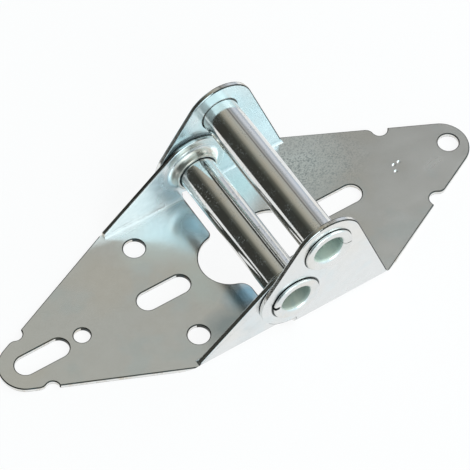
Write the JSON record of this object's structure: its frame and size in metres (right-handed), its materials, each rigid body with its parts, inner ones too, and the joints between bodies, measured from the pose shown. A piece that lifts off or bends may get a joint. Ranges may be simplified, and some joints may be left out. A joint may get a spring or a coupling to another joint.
{
  "type": "garage door hinge",
  "caption": "Double tube roller hinge for a sectional garage door: two folded steel leaves turning on a tube that serves as the pin, with a second tube above for the track roller's stem.",
  "frame": {"origin": "centre of the pivot tube's bore, half way between the ears", "axes": "+X along the hinge to the end of the carrier leaf, +Y along both tubes, +Z from the backs of the leaves up to the tubes"},
  "size_m": [0.2028, 0.0754, 0.0527],
  "materials": {
    "zinc_sheet": "bright zinc plated pressed steel, satin, with a faint blue to olive passivate tint",
    "zinc_tube": "bright zinc plated rolled tube, near mirror"
  },
  "bodies": {
    "carrier": {"carrier_leaf": "zinc_sheet", "roller_tube": "zinc_tube", "pivot_tube": "zinc_tube"},
    "swing": {"swing_leaf": "zinc_sheet"}
  },
  "joints": [
    {"name": "leaf_pivot", "type": "hinge", "parent": "carrier", "child": "swing", "pos_m": [0, 0, 0], "axis": [0, 1, 0], "range_deg": [-16, 95]}
  ]
}
